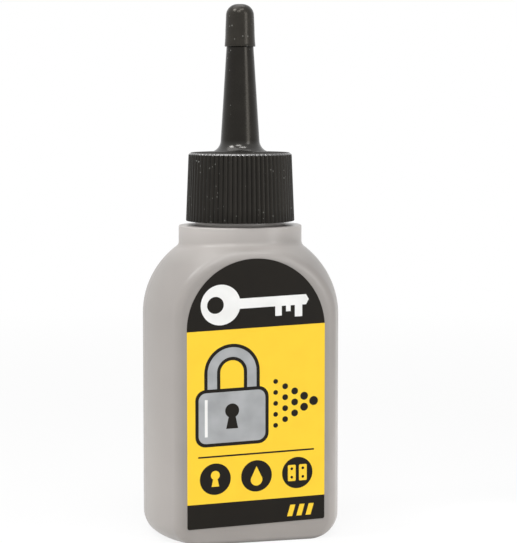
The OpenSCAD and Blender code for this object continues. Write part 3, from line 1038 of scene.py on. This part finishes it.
def discShape(u, z, radius, steps=36):
    return [(u + radius * math.cos(a), z + radius * math.sin(a)) for a in evenColumns(steps)]


def barShape(left, low, right, high, lean=0.0):
    return [(left, low), (right, low), (right + lean, high), (left + lean, high)]


def roundBarShape(u, z, width, height, radius):
    points = []
    for corner, (du, dz) in enumerate(((1, 1), (-1, 1), (-1, -1), (1, -1))):
        centre = (u + du * (width / 2 - radius), z + dz * (height / 2 - radius))
        points += arcPath(centre, radius, 90 * corner, 90 * corner + 90, 6)
    return points


def shackleShape(u, z, outer, inner, legs):
    return ([(u + outer, z - legs)] + arcPath((u, z), outer, 0, 180, 24)
            + [(u - outer, z - legs), (u - inner, z - legs)]
            + arcPath((u, z), inner, 180, 0, 24) + [(u + inner, z - legs)])


def keyholeShape(u, z, radius):
    return (arcPath((u, z), radius, -60, 240, 20)
            + [(u - 0.85 * radius, z - 2.5 * radius), (u + 0.85 * radius, z - 2.5 * radius)])


def keyShape(u, z, bow, shaft, length, teeth):
    # a plain key lying with its bow to the left; teeth are (start, end, depth)
    mouth = math.degrees(math.asin(shaft / bow))
    points = arcPath((u, z), bow, mouth, 360 - mouth, 40)
    for start, end, depth in teeth:
        points += [(u + start, z - shaft), (u + start, z - shaft - depth),
                   (u + end, z - shaft - depth), (u + end, z - shaft)]
    return points + [(u + length, z - shaft), (u + length + 0.6, z), (u + length, z + shaft)]


def dropShape(u, z, radius):
    return arcPath((u, z), radius, -215, 35, 20) + [(u, z + 2.3 * radius)]


def frontPrint():
    # (ink, how many layers thick, outline in mm across and up the label)
    shapes = [
        ("white", 1, keyShape(-7.6, 50.3, 4.2, 1.05, 18.2,
                              ((11.6, 13.0, 2.0), (13.9, 14.9, 1.2), (15.8, 17.4, 2.4)))),
        ("black", 2, discShape(-8.7, 50.3, 1.75)),
        ("black", 1, roundBarShape(-5.2, 26.9, 15.6, 12.0, 2.2)),
        ("black", 1.3, shackleShape(-5.2, 36.2, 5.9, 2.5, 4.2)),
        ("silver", 2, roundBarShape(-5.2, 26.9, 14.2, 10.6, 1.6)),
        ("silver", 2.3, shackleShape(-5.2, 36.2, 5.2, 3.2, 3.3)),
        ("black", 3, keyholeShape(-5.2, 28.2, 1.5)),
        ("white", 3, barShape(-11.0, 23.0, -10.4, 30.8)),
        ("black", 1, barShape(-12.4, 18.65, 12.4, 19.0)),
    ]
    for column in range(5):
        for row in range(column + 1):
            shapes.append(("black", 1, discShape(12.3 - 2.05 * column,
                                                 29.0 + 2.3 * (row - column / 2),
                                                 0.95 - 0.11 * column, 20)))
    for u in (-8.8, 0.0, 8.8):
        shapes.append(("black", 1, discShape(u, 14.1, 3.3)))
    shapes += [
        ("yellow", 2, keyholeShape(-8.8, 14.9, 0.95)),
        ("yellow", 2, dropShape(0.0, 13.3, 1.25)),
    ]
    hinge = (7.6, 10.0)     # its two leaves
    shapes += [("yellow", 2, roundBarShape(u, 14.1, 1.7, 3.4, 0.25)) for u in hinge]
    shapes += [("black", 3, discShape(u, z, 0.3, 14)) for u in hinge for z in (15.0, 13.2)]
    for k in range(3):
        shapes.append(("yellow", 1, barShape(6.6 + 2.0 * k, 5.0, 7.7 + 2.0 * k, 7.4, 0.7)))
    return shapes


def backPrint():
    shapes = [
        ("white", 1, discShape(0.0, 51.0, 4.4)),
        ("black", 2, discShape(0.0, 51.0, 3.7)),
        ("white", 3, keyholeShape(0.0, 51.9, 1.3)),
        ("black", 1, roundBarShape(0.0, 27.0, 25.2, 30.2, 1.6)),
        ("white", 2, roundBarShape(0.0, 27.0, 24.4, 29.4, 1.2)),
    ]
    for k in range(6):
        shapes.append(("black", 3, barShape(-10.2, 38.4 - 4.4 * k, 10.2, 38.7 - 4.4 * k)))
    return shapes


inks = {"white": filmWhite, "black": filmBlack, "silver": filmGrey, "yellow": filmYellow}


def makePrint(name, side, shapes):
    plates = []
    for ink, layers, outline in shapes:
        plate = startPiece(name, bpy.ops.mesh.primitive_circle_add, vertices=len(outline),
                           radius=mm, fill_type="NGON")
        for vert, (u, z) in zip(plate.data.vertices, outline):
            u, z = u * mm, z * mm
            vert.co = (side * u, -side * label["front"], z + printRise(u, z))
        bpy.ops.object.mode_set(mode="EDIT")
        bpy.ops.mesh.select_all(action="SELECT")
        bpy.ops.mesh.extrude_region_move(TRANSFORM_OT_translate={
            "value": (0, -side * layers * label["ink"], 0)})
        bpy.ops.mesh.select_all(action="SELECT")
        bpy.ops.mesh.normals_make_consistent(inside=False)
        bpy.ops.object.mode_set(mode="OBJECT")
        plate.data.materials.append(inks[ink])
        plates.append(plate)
    pickOnly(*plates)
    bpy.ops.object.join()
    plates[0].name = name
    return plates[0]


finishPiece(makeFilmPiece("frontLabelFilm", 1), None, "bottle", "front_label")
finishPiece(makePrint("frontLabelPrint", 1, frontPrint()), None, "bottle")
finishPiece(makeFilmPiece("backLabelFilm", -1), None, "bottle", "back_label")
finishPiece(makePrint("backLabelPrint", -1, backPrint()), None, "bottle")
